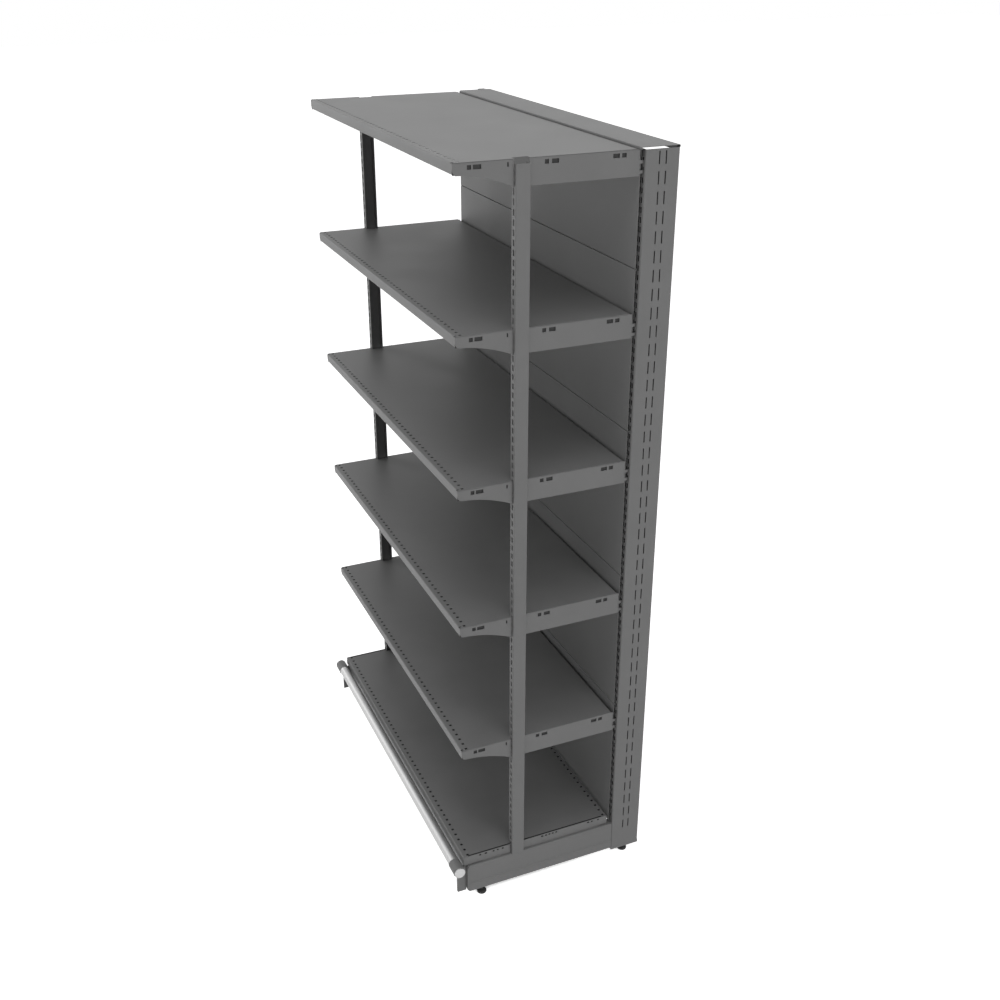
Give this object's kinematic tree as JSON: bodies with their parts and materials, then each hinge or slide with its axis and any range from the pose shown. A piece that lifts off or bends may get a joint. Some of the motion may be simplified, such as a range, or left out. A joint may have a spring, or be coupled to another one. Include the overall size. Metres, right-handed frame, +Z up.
{
  "type": "steel shelving bay",
  "caption": "Steel gondola shelving bay with slotted uprights, front posts, hung shelves on brackets, base shelf, back panels and a bumper rail.",
  "frame": {"origin": "on the floor under the middle of the bay's width and depth", "axes": "+Z up, the open front faces -Y, +X to the right of someone facing the shelves"},
  "size_m": [1.262, 0.6456, 2.2415],
  "materials": {
    "grey_powder_coat": "satin powder coat",
    "bright_tube": "satin anodised",
    "black_foot": "moulded"
  },
  "bodies": {
    "frame": {"back_panel_1": "grey_powder_coat", "back_panel_2": "grey_powder_coat", "back_panel_3": "grey_powder_coat", "back_panel_4": "grey_powder_coat", "back_panel_5": "grey_powder_coat", "base_leg_left": "grey_powder_coat", "base_leg_right": "grey_powder_coat", "bumper_bracket_left": "grey_powder_coat", "bumper_bracket_right": "grey_powder_coat", "bumper_plug_left": "bright_tube", "bumper_plug_right": "bright_tube", "bumper_sleeve_left": "grey_powder_coat", "bumper_sleeve_right": "grey_powder_coat", "bumper_tube": "bright_tube", "front_bracket_1_left": "grey_powder_coat", "front_bracket_1_right": "grey_powder_coat", "front_bracket_2_left": "grey_powder_coat", "front_bracket_2_right": "grey_powder_coat", "front_bracket_3_left": "grey_powder_coat", "front_bracket_3_right": "grey_powder_coat", "front_bracket_4_left": "grey_powder_coat", "front_bracket_4_right": "grey_powder_coat", "front_bracket_5_left": "grey_powder_coat", "front_bracket_5_right": "grey_powder_coat", "front_post_left": "grey_powder_coat", "front_post_right": "grey_powder_coat", "kick_plate": "grey_powder_coat", "rear_bracket_1_left": "grey_powder_coat", "rear_bracket_1_right": "grey_powder_coat", "rear_bracket_2_left": "grey_powder_coat", "rear_bracket_2_right": "grey_powder_coat", "rear_bracket_3_left": "grey_powder_coat", "rear_bracket_3_right": "grey_powder_coat", "rear_bracket_4_left": "grey_powder_coat", "rear_bracket_4_right": "grey_powder_coat", "rear_bracket_5_left": "grey_powder_coat", "rear_bracket_5_right": "grey_powder_coat", "tie_beam_lower": "grey_powder_coat", "tie_beam_upper": "grey_powder_coat", "upright_left": "grey_powder_coat", "upright_right": "grey_powder_coat", "upright_shoe_left": "grey_powder_coat", "upright_shoe_right": "grey_powder_coat"},
    "shelf_1_tray": {"shelf_1": "grey_powder_coat"},
    "shelf_2_tray": {"shelf_2": "grey_powder_coat"},
    "shelf_3_tray": {"shelf_3": "grey_powder_coat"},
    "shelf_4_tray": {"shelf_4": "grey_powder_coat"},
    "shelf_5_tray": {"shelf_5": "grey_powder_coat"},
    "base_tray": {"base_shelf": "grey_powder_coat"},
    "cover": {"top_cover": "grey_powder_coat"},
    "levelling_foot_front_left": {"foot_front_left": "black_foot"},
    "levelling_foot_front_right": {"foot_front_right": "black_foot"},
    "levelling_foot_rear_left": {"foot_rear_left": "black_foot"},
    "levelling_foot_rear_right": {"foot_rear_right": "black_foot"}
  },
  "joints": [
    {"name": "shelf_1_lift", "type": "slide", "parent": "frame", "child": "shelf_1_tray", "axis": [0, 0, 1], "range_m": [0, 0.06]},
    {"name": "shelf_2_lift", "type": "slide", "parent": "frame", "child": "shelf_2_tray", "axis": [0, 0, 1], "range_m": [0, 0.06]},
    {"name": "shelf_3_lift", "type": "slide", "parent": "frame", "child": "shelf_3_tray", "axis": [0, 0, 1], "range_m": [0, 0.06]},
    {"name": "shelf_4_lift", "type": "slide", "parent": "frame", "child": "shelf_4_tray", "axis": [0, 0, 1], "range_m": [0, 0.06]},
    {"name": "shelf_5_lift", "type": "slide", "parent": "frame", "child": "shelf_5_tray", "axis": [0, 0, 1], "range_m": [0, 0.06]},
    {"name": "base_shelf_lift", "type": "slide", "parent": "frame", "child": "base_tray", "axis": [0, 0, 1], "range_m": [0, 0.06]},
    {"name": "top_cover_lift", "type": "slide", "parent": "frame", "child": "cover", "axis": [0, 0, 1], "range_m": [0, 0.05]},
    {"name": "foot_front_left_turn", "type": "hinge", "parent": "frame", "child": "levelling_foot_front_left", "pos_m": [-0.606, -0.22375, 0.02], "axis": [0, 0, 1], "continuous": true},
    {"name": "foot_front_right_turn", "type": "hinge", "parent": "frame", "child": "levelling_foot_front_right", "pos_m": [0.606, -0.22375, 0.02], "axis": [0, 0, 1], "continuous": true},
    {"name": "foot_rear_left_turn", "type": "hinge", "parent": "frame", "child": "levelling_foot_rear_left", "pos_m": [-0.606, 0.27375, 0.02], "axis": [0, 0, 1], "continuous": true},
    {"name": "foot_rear_right_turn", "type": "hinge", "parent": "frame", "child": "levelling_foot_rear_right", "pos_m": [0.606, 0.27375, 0.02], "axis": [0, 0, 1], "continuous": true}
  ]
}
